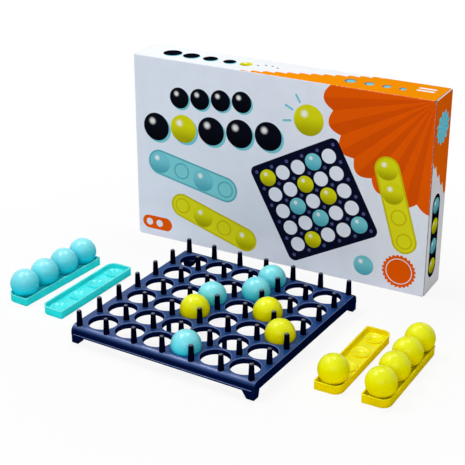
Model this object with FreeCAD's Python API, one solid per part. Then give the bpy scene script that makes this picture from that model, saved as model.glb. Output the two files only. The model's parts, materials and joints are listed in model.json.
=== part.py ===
import FreeCAD
import Part
import math
import os

V = FreeCAD.Vector
half_turn = 180
full_turn = 360

# A ball bounce party game, set out on a table: a peg board with holes between its pegs, sixteen balls,
# four ball trays and the carton that the set is sold and kept in. Lengths are in millimetres, angles in
# degrees, +Z is up and the table is z = 0. The board's front edge runs along X.

# The middle of the whole set stands over the origin, so the board's own middle stands here.
board_x = 1.93
board_y = -55.6

# Grid of the peg board: pegs stand on the nodes, and each square between four pegs holds a hole.
peg_pitch = 34.0
pegs_per_side = 7

# Board shell, moulded in one piece.
deck_height = 19.5
edge_margin = 6.8
shell_wall = 2.2
skirt_height = 10.5
roll_radius = 7.5
end_edge_round = 1.0
lip_height = 1.8
lip_reach = 1.2
lip_end_gap = 3.0

# Holes that catch the balls, with a rounded rim and a collar that hangs below the deck.
hole_diameter = 30.0
rim_round = 1.9
collar_depth = 6.0
collar_wall = 2.2

# Feet under the four corners, and the four posts that stop the deck from sagging.
foot_top_x = 14.0
foot_top_y = 10.6
foot_bottom = 8.2
foot_corner_round = 1.5
foot_sole_round = 1.0
post_diameter = 5.2
post_node = 1
post_offset = 6.8

# Pegs, each with a stem that is pushed into a boss under the deck.
peg_base_diameter = 6.5
peg_tip_diameter = 5.1
peg_height = 17.2
peg_dome = 1.6
peg_seat_depth = 1.0
stem_diameter = 3.6
stem_length = 3.8
stem_clearance = 0.05
peg_seat_clearance = 0.1
boss_wall = 1.7

# Balls.
ball_diameter = 31.3
board_seat_gap = 0.15

# Ball trays: a straight side with tight corners faces the board, the other side has large corners.
tray_width = 28.8
tray_height = 9.4
tray_wall = 1.2
tray_lip_reach = 0.4
tray_lip_height = 1.3
tray_tight_corner = 2.0
tray_large_corner = 10.0
tray_floor_top = 4.4
tray_floor_sheet = 1.5
balls_per_tray = 4
ball_spacing = 32.5
tray_end_room = 29.3
seat_ring_diameter = 20.6
seat_ring_height = 1.4
seat_dip = 1.3
tray_seat_gap = 0.3

# Carton of thin corrugated board, standing on its long edge behind the board.
carton_length = 368.0
carton_height = 226.5
carton_depth = 49.5
carton_board = 1.5
fold_round = 1.5
crease_gap = 0.1
flap_gap = 0.3
flap_trim = 0.6
panel_relief = 2.0
tongue_length = 16.0
tongue_slope = 13.0
tongue_trim = 4.0
tongue_round = 12.0
tongue_gap = 0.5
dust_flap_length = 45.0
dust_flap_taper = 17.0
dust_flap_front_gap = 2.0
dust_flap_back_gap = 0.5
dust_flap_round = 6.0
glue_flap_width = 22.0
glue_flap_trim = 6.0

# What the carton keeps inside when the game is laid out: the challenge cards and the rules.
card_count = 9
card_length = 88.0
card_width = 63.0
card_thickness = 0.4
card_corner = 3.0
card_gap = 0.05
cards_at = 205.0
rules_length = 148.0
rules_height = 105.0
rules_leaf = 0.25
rules_leaf_gap = 0.3
rules_at = 70.0
contents_gap = 0.3

# Where the pieces stand, measured from the middle of the board, and how far each is turned.
cyan_tray_places = [(-210.5, -9.0, -2.35), (-161.9, -12.4, -0.2)]
yellow_tray_places = [(158.0, 3.8, 1.6), (207.1, 6.0, 1.8)]
cyan_tray_seats_filled = [(0, 1, 2, 3), ()]
yellow_tray_seats_filled = [(0,), (0, 1, 2, 3)]
cyan_ball_cells = [(3, 0), (2, 3), (3, 4), (3, 5)]
yellow_ball_cells = [(2, 2), (4, 3), (5, 2)]
carton_place = (-208.1, 152.0, 3.08)

# Sizes that follow from the ones above.
grid_half = peg_pitch * (pegs_per_side - 1) / 2
board_half = grid_half + edge_margin
skirt_bottom = deck_height - skirt_height
hole_radius = hole_diameter / 2
ball_radius = ball_diameter / 2
web_half = peg_pitch / 2 - hole_radius
rim_radius = min(rim_round, web_half - 0.1)
tray_length = (balls_per_tray - 1) * ball_spacing + tray_end_room
carton_end = carton_board + flap_gap
tongue_face = carton_board + tongue_gap


def line(a, b):
    return Part.LineSegment(a, b).toShape()


def arc(a, middle, b):
    return Part.Arc(a, middle, b).toShape()


def rounded_face(points, radii):
    """A flat face through the points, with each corner rounded to its radius."""
    corners = []
    for i, point in enumerate(points):
        back = (points[i - 1] - point).normalize()
        onward = (points[(i + 1) % len(points)] - point).normalize()
        half_angle = back.getAngle(onward) / 2
        reach = radii[i] / math.tan(half_angle)
        inward = (back + onward).normalize()
        middle = point + inward * (radii[i] / math.sin(half_angle) - radii[i])
        corners.append((point + back * reach, middle, point + onward * reach))
    edges = []
    for i, (start, middle, end) in enumerate(corners):
        if radii[i] > 0:
            edges.append(arc(start, middle, end))
        following = corners[(i + 1) % len(corners)][0]
        if end.distanceToPoint(following) > 1e-6:
            edges.append(line(end, following))
    return Part.Face(Part.Wire(edges))


def plate(points, along, radii=None):
    """A flat outline, with corners rounded where radii say so, given thickness along a vector."""
    return rounded_face(points, radii or [0] * len(points)).extrude(along)


def box(low, high):
    return Part.makeBox(high[0] - low[0], high[1] - low[1], high[2] - low[2], V(*low))


def turned(shape, place):
    """The shape, made about the origin, stood on its place on the table."""
    x, y, turn = place
    moved = shape.copy()
    moved.rotate(V(0, 0, 0), V(0, 0, 1), turn)
    moved.translate(V(board_x + x, board_y + y, 0))
    return moved


def on_board(shape):
    return turned(shape, (0, 0, 0))


def node_places():
    steps = range(pegs_per_side)
    return [(i * peg_pitch - grid_half, j * peg_pitch - grid_half) for i in steps for j in steps]


def cell_centre(cell):
    return tuple((step + 0.5) * peg_pitch - grid_half for step in cell)


def cell_places():
    steps = range(pegs_per_side - 1)
    return [cell_centre((i, j)) for i in steps for j in steps]


# The board


def rolled_block(half, top, bottom, roll):
    """A block as wide as the board whose front and back edges roll down from its top."""
    bend = roll * (1 - math.sqrt(0.5))
    points = [V(-half, -half, bottom), V(-half, -half, top - roll), V(-half, -half + roll, top)]
    points += [V(-half, half - roll, top), V(-half, half, top - roll), V(-half, half, bottom)]
    edges = [line(points[0], points[1])]
    edges.append(arc(points[1], V(-half, -half + bend, top - bend), points[2]))
    edges.append(line(points[2], points[3]))
    edges.append(arc(points[3], V(-half, half - bend, top - bend), points[4]))
    edges.append(line(points[4], points[5]))
    edges.append(line(points[5], points[0]))
    return Part.Face(Part.Wire(edges)).extrude(V(2 * half, 0, 0))


def end_edges(block, half, bottom):
    """The edges round the two flat ends of a rolled block, apart from those along its bottom."""
    found = []
    for edge in block.Edges:
        ends = [v.Point for v in edge.Vertexes]
        in_end = all(abs(abs(p.x) - half) < 1e-6 for p in ends)
        across = abs(ends[0].x - ends[-1].x) > 1e-6
        along_bottom = all(abs(p.z - bottom) < 1e-6 for p in ends)
        if in_end and not across and not along_bottom:
            found.append(edge)
    return found


def board_casing():
    outer = rolled_block(board_half, deck_height, skirt_bottom, roll_radius)
    outer = outer.makeFillet(end_edge_round, end_edges(outer, board_half, skirt_bottom))
    room = rolled_block(
        board_half - shell_wall, deck_height - shell_wall, skirt_bottom - 1, roll_radius - shell_wall
    )
    return outer.cut(room)


def skirt_lips():
    """A thin lip along the bottom of the front and back skirts, stopping short of the board's ends."""
    half_length = board_half - lip_end_gap
    lips = []
    for side in (-1, 1):
        faces = sorted((side * (board_half - shell_wall / 2), side * (board_half + lip_reach)))
        low = (-half_length, faces[0], skirt_bottom)
        lips.append(box(low, (half_length, faces[1], skirt_bottom + lip_height)))
    return lips


def corner_feet():
    """A tapered foot for each corner, upright outside and sloping inside, with a rounded sole."""
    top = skirt_bottom + shell_wall
    across, deep = board_half, 2 * board_half

    def slope(width):
        return [(across, 0), (across, top), (across - width, top), (across - width, skirt_bottom),
                (across - foot_bottom, 0)]

    along_x = plate([V(a, -deep, b) for a, b in slope(foot_top_x)], V(0, 2 * deep, 0))
    along_y = plate([V(-deep, a, b) for a, b in slope(foot_top_y)], V(2 * deep, 0, 0))
    foot = along_x.common(along_y)
    corner = [e for e in foot.Edges if all(min(v.X, v.Y) > across - 1e-6 for v in e.Vertexes)]
    foot = foot.makeFillet(foot_corner_round, corner)
    sole = [e for e in foot.Edges if all(v.Z < 1e-6 for v in e.Vertexes)]
    foot = foot.makeFillet(foot_sole_round, sole)
    beside = foot.mirror(V(0, 0, 0), V(1, 0, 0))
    front = [shape.mirror(V(0, 0, 0), V(0, 1, 0)) for shape in (foot, beside)]
    return [foot, beside] + front


def deck_posts():
    x = post_node * peg_pitch
    y = x + post_offset
    height = deck_height - shell_wall / 2
    places = [(a * x, b * y) for a in (-1, 1) for b in (-1, 1)]
    return [Part.makeCylinder(post_diameter / 2, height, V(across, deep, 0)) for across, deep in places]


def hole_cutter(x, y):
    """The ball hole as a solid, flared where it meets the deck."""
    flare = hole_radius + rim_radius
    bend = rim_radius * (1 - math.sqrt(0.5))
    low = deck_height - collar_depth - 1
    rim = deck_height - rim_radius
    points = [V(0, 0, low), V(hole_radius, 0, low), V(hole_radius, 0, rim), V(flare, 0, deck_height)]
    points += [V(flare, 0, deck_height + 1), V(0, 0, deck_height + 1)]
    edges = [line(points[0], points[1]), line(points[1], points[2])]
    edges.append(arc(points[2], V(hole_radius + bend, 0, deck_height - bend), points[3]))
    edges += [line(points[3], points[4]), line(points[4], points[5]), line(points[5], points[0])]
    cutter = Part.Face(Part.Wire(edges)).revolve(V(0, 0, 0), V(0, 0, 1), full_turn)
    return cutter.translate(V(x, y, 0))


def hole_collar(x, y):
    height = collar_depth - shell_wall / 2
    return Part.makeCylinder(hole_radius + collar_wall, height, V(x, y, deck_height - collar_depth))


def peg_boss(x, y):
    radius = stem_diameter / 2 + stem_clearance + boss_wall
    low = deck_height - collar_depth
    return Part.makeCylinder(radius, collar_depth - shell_wall / 2, V(x, y, low))


def peg_socket(x, y):
    """What a peg takes out of the deck: a shallow seat for its base and a bore for its stem."""
    seat = Part.makeCylinder(
        peg_base_diameter / 2 + peg_seat_clearance, peg_seat_depth + 1, V(x, y, deck_height - peg_seat_depth)
    )
    depth = peg_seat_depth + stem_length + peg_seat_clearance
    bore = Part.makeCylinder(stem_diameter / 2 + stem_clearance, depth, V(x, y, deck_height - depth))
    return seat.fuse(bore)


def peg_board():
    supports = skirt_lips() + corner_feet() + deck_posts()
    under = [hole_collar(x, y) for x, y in cell_places()] + [peg_boss(x, y) for x, y in node_places()]
    body = board_casing().multiFuse(supports + under)
    body = body.cut([hole_cutter(x, y) for x, y in cell_places()])
    body = body.cut([peg_socket(x, y) for x, y in node_places()])
    return on_board(body.removeSplitter())


def peg():
    """A tapered peg with a domed tip, on its stem."""
    base = deck_height - peg_seat_depth
    tip = deck_height + peg_height
    base_radius, tip_radius, stem_radius = peg_base_diameter / 2, peg_tip_diameter / 2, stem_diameter / 2
    dome_radius = (tip_radius**2 + peg_dome**2) / (2 * peg_dome)
    half_angle = math.asin(tip_radius / dome_radius) / 2
    on_dome = V(dome_radius * math.sin(half_angle), 0, tip - dome_radius * (1 - math.cos(half_angle)))
    points = [V(0, 0, base - stem_length), V(stem_radius, 0, base - stem_length), V(stem_radius, 0, base)]
    points += [V(base_radius, 0, base), V(tip_radius, 0, tip - peg_dome), V(0, 0, tip)]
    edges = [line(points[i], points[i + 1]) for i in range(4)]
    edges += [arc(points[4], on_dome, points[5]), line(points[5], points[0])]
    return Part.Face(Part.Wire(edges)).revolve(V(0, 0, 0), V(0, 0, 1), full_turn)


def pegs():
    one = peg()
    return on_board(Part.makeCompound([one.translated(V(x, y, 0)) for x, y in node_places()]))


# The balls


def ball_on_board(cell):
    """A ball in a hole, held on the rounded rim, with the seat gap between them."""
    reach = ball_radius + rim_radius + board_seat_gap
    height = deck_height - rim_radius + math.sqrt(reach**2 - (hole_radius + rim_radius) ** 2)
    x, y = cell_centre(cell)
    return on_board(Part.makeSphere(ball_radius, V(x, y, height)))


def seat_places():
    middle = (balls_per_tray - 1) / 2
    return [(0, (i - middle) * ball_spacing) for i in range(balls_per_tray)]


def tray_ball_height():
    return tray_floor_top - seat_dip + tray_seat_gap + ball_radius


def ball_in_tray(seat, place):
    x, y = seat_places()[seat]
    return turned(Part.makeSphere(ball_radius, V(x, y, tray_ball_height())), place)


# The ball trays


def tray_block(inset, low, high):
    """A block with the tray's outline, drawn in all round by the inset."""
    x, y = tray_width / 2 - inset, tray_length / 2 - inset
    tight = max(tray_tight_corner - inset, 0.3)
    large = max(tray_large_corner - inset, 0.3)
    points = [V(-x, -y, low), V(x, -y, low), V(x, y, low), V(-x, y, low)]
    return plate(points, V(0, 0, high - low), [tight, large, large, tight])


def ball_tray():
    """A shallow moulded tray: a raised floor inside a wall, and a ringed dish for each ball."""
    inside = tray_lip_reach + tray_wall
    floor_under = tray_floor_top - tray_floor_sheet
    body = tray_block(tray_lip_reach, 0, tray_height)
    body = body.fuse(tray_block(0, tray_height - tray_lip_height, tray_height))
    body = body.cut(tray_block(inside, tray_floor_top, tray_height + 1))
    body = body.cut(tray_block(inside, -1, floor_under))
    dish_radius = ball_radius + tray_seat_gap
    centre = tray_ball_height()
    below = box((-tray_width, -tray_length, 0), (tray_width, tray_length, floor_under + 0.1))
    added, dishes = [], []
    for x, y in seat_places():
        added.append(Part.makeCylinder(seat_ring_diameter / 2, seat_ring_height, V(x, y, tray_floor_top)))
        added.append(Part.makeSphere(dish_radius + tray_floor_sheet, V(x, y, centre)).common(below))
        dishes.append(Part.makeSphere(dish_radius, V(x, y, centre)))
    return body.multiFuse(added).cut(dishes).removeSplitter()


# The carton, made with its front bottom left corner at the origin: X along it, Y into it


def mirrored_end(shape):
    return shape.mirror(V(carton_length / 2, 0, 0), V(1, 0, 0))


def carton_sleeve():
    """The four panels that stay joined: a folded tube, open at both ends, with its glued seam."""
    c, d, h = carton_board, carton_depth, carton_height
    low, high = carton_end, carton_length - carton_end
    corners = [(0, 0), (d, 0), (d, h), (0, h)]
    rooms = [(c, c), (d - c, c), (d - c, h - c), (c, h - c)]
    tube = plate([V(low, y, z) for y, z in corners], V(high - low, 0, 0), [fold_round] * 4)
    tube = tube.cut(plate([V(low - 1, y, z) for y, z in rooms], V(high - low + 2, 0, 0)))
    top_edge, bottom_edge = h - panel_relief, panel_relief
    strips = []
    front = box((high - c, 0, bottom_edge), (carton_length, c, top_edge))
    back_outline = [(high - c, d - c), (carton_length - c, d - c), (carton_length, d), (high - c, d)]
    back = plate([V(x, y, bottom_edge) for x, y in back_outline], V(0, 0, top_edge - bottom_edge))
    strips += [front, back, mirrored_end(front), mirrored_end(back)]
    seam_low, seam_high = low + glue_flap_trim, high - glue_flap_trim
    seam_outline = [(seam_low, d - c), (seam_high, d - c)]
    seam_outline.append((seam_high - glue_flap_trim, d - c - glue_flap_width))
    seam_outline.append((seam_low + glue_flap_trim, d - c - glue_flap_width))
    seam = plate([V(x, y, h - 2 * c) for x, y in seam_outline], V(0, 0, c))
    sleeve = tube.multiFuse(strips + [seam])
    bevels = []
    for edge, inner in ((h, h - c), (0, c)):
        points = [V(high, c, edge), V(high, c, inner), V(high - c, c, inner)]
        bevel = plate(points, V(0, d - 2 * c, 0))
        bevels += [bevel, mirrored_end(bevel)]
    return sleeve.cut(bevels).removeSplitter()


def tongue_mitre():
    """How far the inner corner of the tongue's crease lies from its outer corner, along either panel."""
    return carton_board * math.tan(math.radians(45 + tongue_slope / 2))


def end_flap():
    """The panel that closes the right end, hinged on the back panel."""
    c, d, end = carton_board, carton_depth, carton_length
    outline = [(end, d - crease_gap), (end - c, d - c - crease_gap)]
    outline += [(end - c, tongue_face + tongue_mitre() + crease_gap), (end, tongue_face + crease_gap)]
    points = [V(x, y, flap_trim) for x, y in outline]
    return plate(points, V(0, 0, carton_height - 2 * flap_trim))


def end_tongue():
    """The tongue along the end flap's front edge, tucked in behind the front panel and sloping away."""
    slope = math.radians(tongue_slope)
    crease = V(carton_length, tongue_face, 0)
    inward, across = V(-math.cos(slope), math.sin(slope), 0), V(math.sin(slope), math.cos(slope), 0)
    inner = crease + across * carton_board
    outline = [crease + inward * crease_gap, crease + inward * tongue_length]
    outline += [inner + inward * tongue_length, inner + inward * (tongue_mitre() + crease_gap)]
    strip = plate(outline, V(0, 0, carton_height))
    end, tip = carton_length, carton_length - tongue_length * math.cos(slope)
    low, high = tongue_trim, carton_height - tongue_trim
    shape = [V(end, 0, low), V(tip, 0, low), V(tip, 0, high), V(end, 0, high)]
    return strip.common(plate(shape, V(0, carton_depth, 0), [0, tongue_round, tongue_round, 0]))


def top_dust_flap():
    """The flap on the end of the top panel, folded down behind the end flap."""
    c, d, h = carton_board, carton_depth, carton_height
    face = carton_length - carton_end
    low = h - dust_flap_length
    outline = [(face, h - crease_gap), (face - c, h - c - crease_gap), (face - c, low), (face, low)]
    strip = plate([V(x, 0, z) for x, z in outline], V(0, d, 0))
    front = tongue_face + c + dust_flap_front_gap
    back = d - c - dust_flap_back_gap
    taper = dust_flap_length * math.tan(math.radians(dust_flap_taper))
    shape = [V(0, front, h), V(0, front + taper / 2, low), V(0, back - taper, low), V(0, back, h)]
    return strip.common(plate(shape, V(carton_length, 0, 0), [0, dust_flap_round, dust_flap_round, 0]))


def bottom_dust_flap():
    return top_dust_flap().mirror(V(0, 0, carton_height / 2), V(0, 0, 1))


# What the carton keeps


def challenge_cards():
    """A stack of cards standing on the carton's bottom panel, in front of the rules."""
    low = carton_board + contents_gap
    back = carton_depth - carton_board - 2 * contents_gap - 2 * rules_leaf - rules_leaf_gap
    cards = []
    for i in range(card_count):
        y = back - contents_gap - (i + 1) * card_thickness - i * card_gap
        corners = [V(cards_at, y, low), V(cards_at + card_length, y, low)]
        corners += [V(cards_at + card_length, y, low + card_width), V(cards_at, y, low + card_width)]
        cards.append(plate(corners, V(0, card_thickness, 0), [card_corner] * 4))
    return Part.makeCompound(cards)


def rules_sheet():
    """The rules, folded once, standing against the back panel with the fold at the bottom."""
    low = carton_board + contents_gap
    back = carton_depth - carton_board - contents_gap
    thickness = 2 * rules_leaf + rules_leaf_gap
    outer, inner = thickness / 2, rules_leaf_gap / 2
    fold_z, high, y = low + outer, low + rules_height, back - outer
    edges = [line(V(rules_at, y - outer, high), V(rules_at, y - outer, fold_z))]
    edges.append(arc(V(rules_at, y - outer, fold_z), V(rules_at, y, low), V(rules_at, y + outer, fold_z)))
    edges.append(line(V(rules_at, y + outer, fold_z), V(rules_at, y + outer, high)))
    edges.append(line(V(rules_at, y + outer, high), V(rules_at, y + inner, high)))
    edges.append(line(V(rules_at, y + inner, high), V(rules_at, y + inner, fold_z)))
    inner_low = V(rules_at, y, fold_z - inner)
    edges.append(arc(V(rules_at, y + inner, fold_z), inner_low, V(rules_at, y - inner, fold_z)))
    edges.append(line(V(rules_at, y - inner, fold_z), V(rules_at, y - inner, high)))
    edges.append(line(V(rules_at, y - inner, high), V(rules_at, y - outer, high)))
    return Part.Face(Part.Wire(edges)).extrude(V(rules_length, 0, 0))


# All pieces, by name


def balls(colour, cells, places, filled):
    """The balls of one colour, those on the board first and then those in the trays."""
    made = [ball_on_board(cell) for cell in cells]
    for place, seats in zip(places, filled):
        made += [ball_in_tray(seat, place) for seat in seats]
    return {f"{colour}_ball_{i + 1}": ball for i, ball in enumerate(made)}


def trays():
    tray = ball_tray()
    made = {}
    for i, place in enumerate(yellow_tray_places):
        made[f"yellow_tray_{i + 1}"] = turned(tray, place)
    for i, (x, y, turn) in enumerate(cyan_tray_places):
        made[f"cyan_tray_{i + 1}"] = turned(tray, (x, y, turn + half_turn))
    return made


def carton():
    made = {"carton_sleeve": carton_sleeve()}
    made.update({"challenge_cards": challenge_cards(), "rules_sheet": rules_sheet()})
    flaps = {"end_flap": end_flap(), "tongue": end_tongue()}
    flaps.update({"top_dust_flap": top_dust_flap(), "bottom_dust_flap": bottom_dust_flap()})
    for name, flap in flaps.items():
        made["right_" + name] = flap
        made["left_" + name] = mirrored_end(flap)
    return {name: turned(shape, carton_place) for name, shape in made.items()}


def all_pieces():
    pieces = {"peg_board": peg_board(), "pegs": pegs()}
    pieces.update(balls("cyan", cyan_ball_cells, cyan_tray_places, cyan_tray_seats_filled))
    pieces.update(balls("yellow", yellow_ball_cells, yellow_tray_places, yellow_tray_seats_filled))
    pieces.update(trays())
    pieces.update(carton())
    return pieces


def main():
    os.makedirs("parts", exist_ok=True)
    for name, shape in all_pieces().items():
        shape.exportStep(f"parts/{name}.step")
        print(name, "solids", len(shape.Solids), "valid", shape.isValid(), "volume", round(shape.Volume))


main()
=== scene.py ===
import json
import math
import random

import bmesh
import bpy
from mathutils import Euler, Matrix, Vector

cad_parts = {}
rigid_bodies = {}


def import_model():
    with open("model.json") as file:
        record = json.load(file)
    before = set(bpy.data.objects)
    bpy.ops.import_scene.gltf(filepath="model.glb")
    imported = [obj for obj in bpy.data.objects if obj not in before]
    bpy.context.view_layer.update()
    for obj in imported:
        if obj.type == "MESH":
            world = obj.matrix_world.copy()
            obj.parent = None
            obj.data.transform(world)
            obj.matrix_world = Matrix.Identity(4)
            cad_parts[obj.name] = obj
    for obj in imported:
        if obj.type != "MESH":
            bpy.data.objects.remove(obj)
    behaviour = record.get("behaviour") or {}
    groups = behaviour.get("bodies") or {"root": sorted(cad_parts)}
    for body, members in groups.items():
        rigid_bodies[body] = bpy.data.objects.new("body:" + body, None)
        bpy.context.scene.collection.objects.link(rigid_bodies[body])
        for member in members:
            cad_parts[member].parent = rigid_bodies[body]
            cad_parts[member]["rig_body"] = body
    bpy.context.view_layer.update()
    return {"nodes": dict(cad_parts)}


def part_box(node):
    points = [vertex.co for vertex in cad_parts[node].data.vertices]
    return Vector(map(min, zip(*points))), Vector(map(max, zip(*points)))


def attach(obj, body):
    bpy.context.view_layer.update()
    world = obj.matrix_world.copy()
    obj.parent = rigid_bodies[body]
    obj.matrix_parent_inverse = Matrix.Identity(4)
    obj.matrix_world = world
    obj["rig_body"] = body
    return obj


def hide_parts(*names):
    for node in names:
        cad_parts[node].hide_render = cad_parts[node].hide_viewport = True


# A ball bounce party game laid out on a table: a peg board, its balls, four ball trays and a tuck-end carton.
# Lengths are in metres, with MM for the sizes that a maker would give in millimetres. +Z is up, the board's
# front edge runs along X and the carton stands behind it.

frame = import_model()
MM = 0.001

# The peg board
BOARD_MIDDLE = Vector((1.93 * MM, -55.6 * MM, 0))
PITCH = 34 * MM
PEGS_PER_SIDE = 7
BOARD_LIP_ROUNDING = 0.5 * MM

# A peg, in millimetres: the heights of its stem's foot, its base on the deck, its shoulder and its tip, then the
# radii of its stem and its base, how much it tapers, and the radius of its domed tip
PEG_FOOT, PEG_BASE, PEG_SHOULDER, PEG_TIP = 14.7, 18.5, 35.1, 36.7
PEG_STEM_RADIUS, PEG_RADIUS, PEG_TAPER, PEG_DOME = 1.8, 3.25, 0.7, 2.83

# A ball tray: its outline's corners, its wall and lip, and its seats
TRAY_HALF = (14.4 * MM, 63.4 * MM)
TRAY_TIGHT_CORNER = 2 * MM
TRAY_LARGE_CORNER = 10 * MM
TRAY_HEIGHT = 9.4 * MM
LIP_HEIGHT = 1.3 * MM
LIP_REACH = 0.4 * MM
TRAY_WALL = 1.2 * MM
FLOOR_TOP = 4.4 * MM
FLOOR_UNDER = 2.9 * MM
BALL_SPACING = 32.5 * MM
RING_RADIUS = 10.3 * MM
RING_HEIGHT = 1.4 * MM
DISH_RADIUS = 15.95 * MM
DISH_CENTRE = 19.05 * MM

# Where each tray stands, from the middle of the board, and how far it is turned
TRAY_PLACES = {
    "cyan_tray_1": (-210.5, -9.0, 177.65),
    "cyan_tray_2": (-161.9, -12.4, 179.8),
    "yellow_tray_1": (158.0, 3.8, 1.6),
    "yellow_tray_2": (207.1, 6.0, 1.8),
}

# The carton: its front bottom left corner, its turn and its size
CARTON_CORNER = BOARD_MIDDLE + Vector((-208.1 * MM, 152.0 * MM, 0))
CARTON_TURN = math.radians(3.08)
CARTON_LENGTH = 368.0
CARTON_DEPTH = 49.5
CARTON_HEIGHT = 226.5
FLUTE_PITCH = 2.4

# The camera's place from the middle of the board, in millimetres, its direction and its lens
CAMERA_PLACE = Vector((605.7, -959.2, 620.9))
CAMERA_AIM = Vector((-0.4756, 0.7770, -0.4124))
CAMERA_LENS = 94.7
CAMERA_SENSOR = 36

# Each softbox: its place, what it is aimed at, its size and its watts
SOFTBOXES = {
    "left_softbox": ((-0.77, -0.162, 1.418), (0, 0, 0), (0.82, 0.22), 10.0),
    "top_softbox": ((-0.135, 0.54, 1.593), (0, 0, 0), (0.5, 0.4), 6.4),
    "front_softbox": ((0.62, -1.35, 0.75), (0, 0, 0.1), (1.2, 0.8), 8.5),
}
STUDIO_LIGHT = 0.26

# The floor: half its width, its shade, and the distances between which it fades from nearly white to white
FLOOR_REACH = 6.0
FLOOR_SHADE = (0.9, 0.9, 0.9, 1)
FLOOR_FADE = (0.2, 0.5)
FLOOR_WHITE_NEAR_SET = 0.88


def srgb(red, green, blue):
    """A colour given as 0 to 255 on a screen, as the linear colour that a shader takes."""
    parts = []
    for part in (red, green, blue):
        part = part / 255
        parts.append(part / 12.92 if part <= 0.04045 else ((part + 0.055) / 1.055) ** 2.4)
    return (*parts, 1.0)


# Shader trees


class Tree:
    """Lays nodes in a shader tree. A socket given as an input is joined, and anything else is set."""

    def __init__(self, tree):
        self.tree = tree

    def put(self, socket, value):
        if isinstance(value, bpy.types.NodeSocket):
            self.tree.links.new(value, socket)
        else:
            socket.default_value = value

    def add(self, kind, inputs=(), **settings):
        node = self.tree.nodes.new(kind)
        for name, value in settings.items():
            setattr(node, name, value)
        for name, value in dict(inputs).items():
            self.put(node.inputs[name], value)
        return node

    def maths(self, operation, *values, clamp=False):
        inputs = dict(enumerate(values))
        return self.add("ShaderNodeMath", inputs, operation=operation, use_clamp=clamp).outputs[0]

    def vector(self, operation, a, b=(0, 0, 0)):
        node = self.add("ShaderNodeVectorMath", {0: a, 1: b}, operation=operation)
        return node.outputs["Value" if operation in ("DISTANCE", "LENGTH", "DOT_PRODUCT") else "Vector"]

    def mix(self, factor, a, b, blend="MIX"):
        node = self.add("ShaderNodeMix", data_type="RGBA", blend_type=blend)
        for socket, value in ((node.inputs[0], factor), (node.inputs[6], a), (node.inputs[7], b)):
            self.put(socket, value)
        return node.outputs[2]

    def ramp(self, value, low, high, to_low=0.0, to_high=1.0):
        inputs = {0: value, 1: low, 2: high, 3: to_low, 4: to_high}
        return self.add("ShaderNodeMapRange", inputs, interpolation_type="SMOOTHSTEP").outputs[0]

    def use(self, group, inputs=()):
        """Places a group. Its tree is set first, because its sockets come from it."""
        return self.add("ShaderNodeGroup", inputs, node_tree=group)


def new_group(name, inputs, outputs):
    """A shader node group and its tree, with sockets given as {name: (kind, default)}."""
    group = bpy.data.node_groups.new(name, "ShaderNodeTree")
    for socket, (kind, default) in inputs.items():
        made = group.interface.new_socket(socket, in_out="INPUT", socket_type="NodeSocket" + kind)
        if default is not None:
            made.default_value = default
    for socket, kind in outputs.items():
        group.interface.new_socket(socket, in_out="OUTPUT", socket_type="NodeSocket" + kind)
    tree = Tree(group)
    return group, tree, tree.add("NodeGroupInput").outputs, tree.add("NodeGroupOutput").inputs


def moulded_surface_group():
    """Moulded plastic: faint mottling of the colour, an uneven gloss and the fine grain of the mould."""
    group, tree, given, gives = new_group(
        "moulded_surface",
        {"Point": ("Vector", None), "Colour": ("Color", (0.5, 0.5, 0.5, 1)), "Roughness": ("Float", 0.3),
         "Grain Size": ("Float", 0.4), "Grain Depth": ("Float", 0.5)},
        {"Colour": "Color", "Roughness": "Float", "Height": "Float"},
    )
    cloud = tree.add("ShaderNodeTexNoise", {"Vector": given["Point"], "Scale": 35.0, "Detail": 3.0}).outputs[0]
    shade = tree.ramp(cloud, 0.3, 0.7, 0.94, 1.04)
    shade_colour = tree.add("ShaderNodeCombineColor", {0: shade, 1: shade, 2: shade}).outputs[0]
    tree.put(gives["Colour"], tree.mix(1.0, given["Colour"], shade_colour, "MULTIPLY"))
    scale = tree.maths("DIVIDE", 1000.0, given["Grain Size"])
    grain = tree.add("ShaderNodeTexNoise", {"Vector": given["Point"], "Scale": scale, "Detail": 2.0}).outputs[0]
    smear = tree.add("ShaderNodeTexNoise", {"Vector": given["Point"], "Scale": 90.0, "Detail": 4.0}).outputs[0]
    uneven = tree.ramp(smear, 0.35, 0.75, -0.04, 0.07)
    tree.put(gives["Roughness"], tree.maths("ADD", given["Roughness"], uneven, clamp=True))
    tree.put(gives["Height"], tree.maths("MULTIPLY", grain, given["Grain Depth"]))
    return group


def scratch_group():
    """Fine scuffs: thin wandering lines that show only in patches."""
    group, tree, given, gives = new_group(
        "scuffs", {"Point": ("Vector", None), "Amount": ("Float", 0.3)}, {"Mask": "Float"}
    )
    bent = tree.add("ShaderNodeTexNoise", {"Vector": given["Point"], "Scale": 60.0}).outputs[1]
    moved = tree.add("ShaderNodeVectorMath", {0: bent, 1: (0.02, 0.02, 0.02), 2: given["Point"]},
                     operation="MULTIPLY_ADD").outputs[0]
    lines = tree.add("ShaderNodeTexVoronoi", {"Vector": moved, "Scale": 130.0},
                     feature="DISTANCE_TO_EDGE").outputs["Distance"]
    thin = tree.ramp(lines, 0.0, 0.012, 1.0, 0.0)
    patch = tree.add("ShaderNodeTexNoise", {"Vector": given["Point"], "Scale": 45.0, "Detail": 2.0}).outputs[0]
    shown = tree.maths("MULTIPLY", thin, tree.ramp(patch, 0.52, 0.68))
    tree.put(gives["Mask"], tree.maths("MULTIPLY", shown, given["Amount"], clamp=True))
    return group


def bump(tree, height, strength, distance, normal=None):
    inputs = {"Height": height, "Strength": strength, "Distance": distance}
    if normal is not None:
        inputs["Normal"] = normal
    return tree.add("ShaderNodeBump", inputs).outputs[0]


def new_material(name):
    material = bpy.data.materials.new(name)
    material.use_nodes = True
    tree = Tree(material.node_tree)
    shader = material.node_tree.nodes["Principled BSDF"]
    point = tree.add("ShaderNodeTexCoord").outputs["Object"]
    return material, tree, shader, point


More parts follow.
